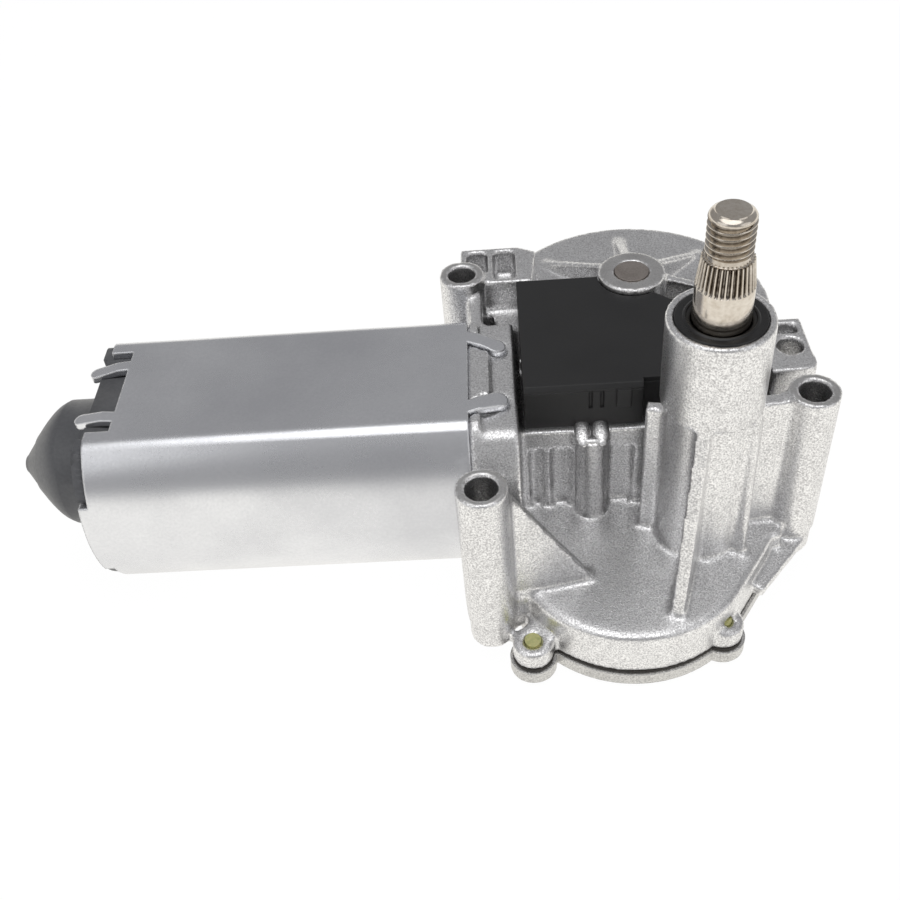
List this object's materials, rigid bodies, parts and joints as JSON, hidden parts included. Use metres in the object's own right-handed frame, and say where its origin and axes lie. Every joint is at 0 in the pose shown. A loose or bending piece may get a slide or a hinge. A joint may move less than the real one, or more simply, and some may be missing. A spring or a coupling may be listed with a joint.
{
  "type": "wiper motor",
  "caption": "Wiper motor with a flat-sided motor can, worm gear case, control box and upright output spindle with a knurled cone and thread.",
  "frame": {"origin": "on the output spindle's axis, at the foot of the knurled cone that carries the wiper arm", "axes": "+Z along the output spindle towards its thread; the motor's axis lies along X, its capped end towards -X; the front mounting posts are on the -Y side"},
  "size_m": [0.2063, 0.1286, 0.1143],
  "materials": {
    "cast_aluminium": "fine grained casting",
    "yoke_steel": "zinc plated, drawn",
    "cover_alloy": "plain casting",
    "black_plastic": "moulded, satin",
    "cap_plastic": "moulded, satin",
    "seal_rubber": "moulded",
    "bright_steel": "nickel plated",
    "plain_steel": "turned or stamped",
    "lamination_steel": "stamped stack",
    "axle_steel": "dull, ground end",
    "yellow_zinc": "yellow passivated",
    "copper": "enamelled wire and bars",
    "bronze": "sintered",
    "contact_brass": "stamped",
    "carbon": "pressed carbon",
    "ferrite": "sintered ferrite",
    "wheel_plastic": "moulded nylon"
  },
  "bodies": {
    "housing": {"gear_housing": "cast_aluminium", "bottom_cover": "cover_alloy", "cover_gasket": "seal_rubber", "cover_screws": "yellow_zinc", "motor_yoke": "yoke_steel", "end_cap": "cap_plastic", "magnet_front": "ferrite", "magnet_rear": "ferrite", "brush_card": "cap_plastic", "brushes": "carbon", "brush_springs": "contact_brass", "rear_bearing": "plain_steel", "neck_bush": "bronze", "worm_end_bush": "bronze", "thrust_screw": "yellow_zinc", "control_box": "black_plastic", "control_box_lid": "black_plastic", "connector_pins": "contact_brass", "park_contacts": "contact_brass", "wheel_axle": "axle_steel", "axle_clip": "plain_steel", "upper_bush": "bronze", "lower_bush": "bronze", "shaft_seal": "seal_rubber"},
    "armature": {"armature_shaft": "plain_steel", "laminations": "lamination_steel", "windings": "copper", "commutator": "copper"},
    "wheel": {"worm_wheel": "wheel_plastic", "park_disc": "contact_brass"},
    "output": {"output_shaft": "bright_steel", "output_pinion": "plain_steel", "retaining_ring": "bright_steel", "thrust_washer": "bright_steel"},
    "link": {"link_plate_upper": "plain_steel", "link_plate_lower": "plain_steel", "sector_pivot": "plain_steel"},
    "rod": {"connecting_rod": "plain_steel", "crank_pin": "plain_steel"}
  },
  "joints": [
    {"name": "armature_spin", "type": "hinge", "parent": "housing", "child": "armature", "pos_m": [-0.1, 0.02125, -0.0614], "axis": [1, 0, 0], "continuous": true},
    {"name": "wheel_spin", "type": "hinge", "parent": "housing", "child": "wheel", "pos_m": [-0.0116, 0.056, -0.0614], "axis": [0, 0, 1], "continuous": true},
    {"name": "output_swing", "type": "hinge", "parent": "housing", "child": "output", "pos_m": [0, 0, 0], "axis": [0, 0, 1], "range_deg": [0, 167.5]},
    {"name": "link_swing", "type": "hinge", "parent": "housing", "child": "link", "pos_m": [0, 0, 0], "axis": [0, 0, 1], "range_deg": [0, 55.88]},
    {"name": "rod_swing", "type": "hinge", "parent": "link", "child": "rod", "pos_m": [-0.02333, 0.01204, 0], "axis": [0, 0, 1], "range_deg": [-55.88, 0]}
  ],
  "couplings": [
    {"joint": "wheel_spin", "follows": "armature_spin", "ratio": -0.020833},
    {"joint": "link_swing", "follows": "output_swing", "ratio": 0.33333},
    {"joint": "rod_swing", "follows": "output_swing", "ratio": -0.33333}
  ]
}
